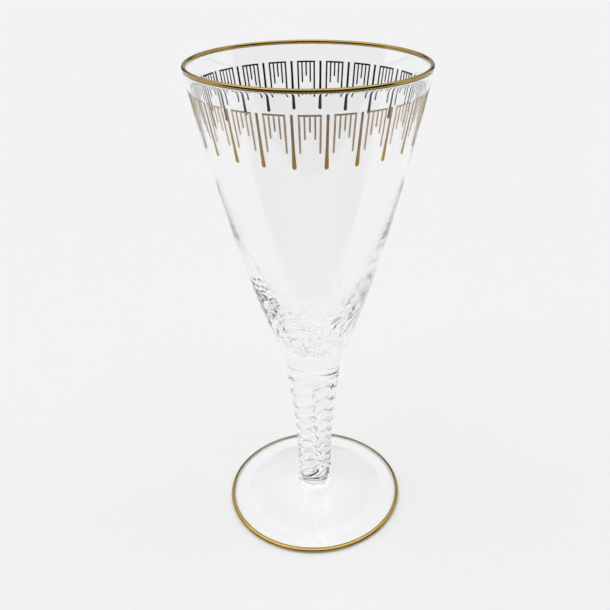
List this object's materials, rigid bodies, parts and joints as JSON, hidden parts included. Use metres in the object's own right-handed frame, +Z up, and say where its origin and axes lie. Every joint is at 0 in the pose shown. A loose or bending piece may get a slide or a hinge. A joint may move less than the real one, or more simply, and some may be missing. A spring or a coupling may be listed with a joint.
{
  "type": "wine glass",
  "caption": "Stemmed wine glass with a tall conical bowl, a twisted solid stem, a round foot, a gold lip and foot edge, and a gold fringe of hanging strokes.",
  "frame": {"origin": "centre of the ring under the foot that the glass stands on", "axes": "+Z up along the glass's axis, from the foot to the rim; +X and +Y lie in the table plane, and the glass is round about Z apart from its twist and fringe"},
  "size_m": [0.0792, 0.0792, 0.18],
  "materials": {
    "clear_glass": "clear colourless soda-lime glass, fire polished",
    "fired_gold": "fired bright gold on the lip and the foot's edge, burnished",
    "fringe_gold": "fired satin gold of the fringe, slightly raised"
  },
  "bodies": {
    "root": {"bowl": "clear_glass", "stem": "clear_glass", "foot": "clear_glass", "rim_band": "fired_gold", "foot_band": "fired_gold", "drip_01": "fringe_gold", "drip_02": "fringe_gold", "drip_03": "fringe_gold", "drip_04": "fringe_gold", "drip_05": "fringe_gold", "drip_06": "fringe_gold", "drip_07": "fringe_gold", "drip_08": "fringe_gold", "drip_09": "fringe_gold", "drip_10": "fringe_gold", "drip_11": "fringe_gold", "drip_12": "fringe_gold", "drip_13": "fringe_gold", "drip_14": "fringe_gold", "drip_15": "fringe_gold", "drip_16": "fringe_gold", "drip_17": "fringe_gold", "drip_18": "fringe_gold", "drip_19": "fringe_gold", "drip_20": "fringe_gold", "drip_21": "fringe_gold", "drip_22": "fringe_gold", "drip_23": "fringe_gold", "drip_24": "fringe_gold", "comb_01": "fringe_gold", "comb_02": "fringe_gold", "comb_03": "fringe_gold", "comb_04": "fringe_gold", "comb_05": "fringe_gold", "comb_06": "fringe_gold", "comb_07": "fringe_gold", "comb_08": "fringe_gold", "comb_09": "fringe_gold", "comb_10": "fringe_gold", "comb_11": "fringe_gold", "comb_12": "fringe_gold", "comb_13": "fringe_gold", "comb_14": "fringe_gold", "comb_15": "fringe_gold", "comb_16": "fringe_gold", "comb_17": "fringe_gold", "comb_18": "fringe_gold", "comb_19": "fringe_gold", "comb_20": "fringe_gold", "comb_21": "fringe_gold", "comb_22": "fringe_gold", "comb_23": "fringe_gold", "comb_24": "fringe_gold"}
  },
  "joints": []
}
